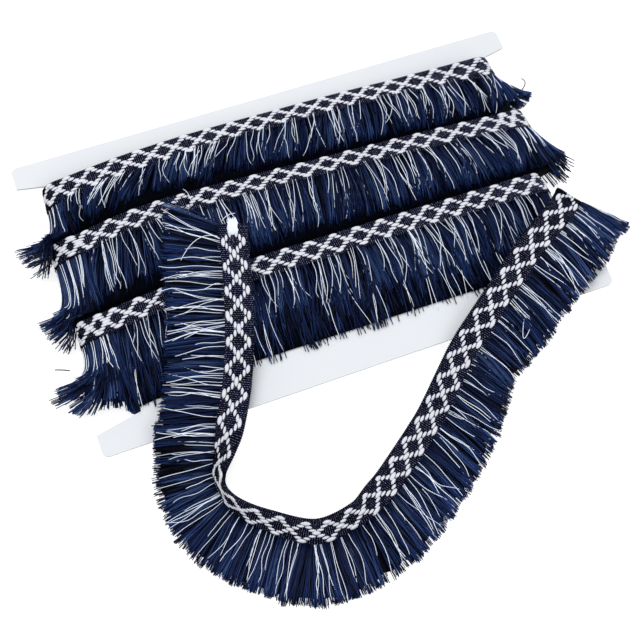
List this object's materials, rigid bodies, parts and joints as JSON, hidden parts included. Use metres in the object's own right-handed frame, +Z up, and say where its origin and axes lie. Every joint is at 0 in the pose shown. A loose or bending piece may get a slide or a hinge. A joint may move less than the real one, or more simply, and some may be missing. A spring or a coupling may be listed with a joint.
{
  "type": "fringe trim wound on a card",
  "caption": "Woven-headed cut fringe trim with a diamond chain, wound in rows round a notched card, its loose end laid in a U in front.",
  "frame": {"origin": "on the surface that the back of the wound trim lies on, under the middle of the card", "axes": "+X along the rows, from the left end to the end where the tail comes off; +Y towards the card's far long edge, away from the tail; +Z up from the surface"},
  "size_m": [0.2422, 0.2036, 0.0225],
  "materials": {
    "card": "white paperboard, matt",
    "heading": "tightly woven navy ground with a raised white diamond chain",
    "fringe": "cut navy yarns with sparse fine white threads"
  },
  "bodies": {
    "root": {"card": "card", "row_1_heading": "heading", "row_1_fringe": "fringe", "row_2_heading": "heading", "row_2_fringe": "fringe", "row_3_heading": "heading", "row_3_fringe": "fringe", "tail_heading": "heading", "tail_fringe": "fringe"}
  },
  "joints": []
}
